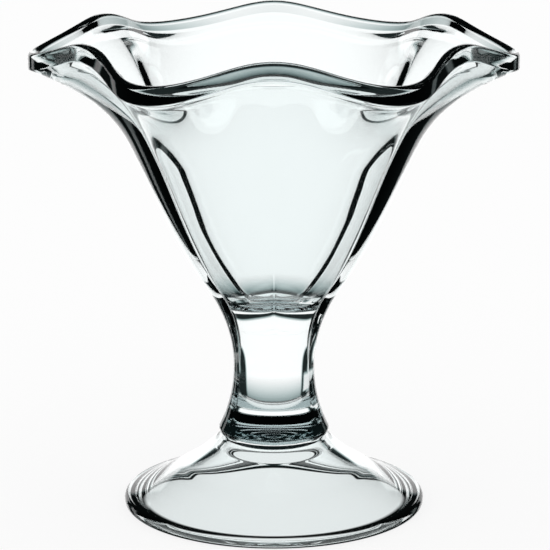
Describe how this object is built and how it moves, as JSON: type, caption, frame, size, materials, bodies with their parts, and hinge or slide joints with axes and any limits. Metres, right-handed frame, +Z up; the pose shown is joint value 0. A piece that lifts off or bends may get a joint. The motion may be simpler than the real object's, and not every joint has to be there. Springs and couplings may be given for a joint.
{
  "type": "footed sundae glass",
  "caption": "Clear pressed-glass sundae dish: a fluted bowl with a petalled wavy rim, a short solid fluted stem and a round foot that is hollow underneath.",
  "frame": {"origin": "centre of the ring that the foot stands on, on the table's surface", "axes": "+Z up along the glass's axis; -Y is the side seen from the front, where a crease between two petals faces; +X to the right"},
  "size_m": [0.1296, 0.1158, 0.13],
  "materials": {
    "bowl_glass": "fire-polished clear",
    "stem_glass": "fire-polished clear",
    "foot_glass": "fire-polished clear"
  },
  "bodies": {
    "root": {"bowl": "bowl_glass", "stem": "stem_glass", "foot": "foot_glass"}
  },
  "joints": []
}
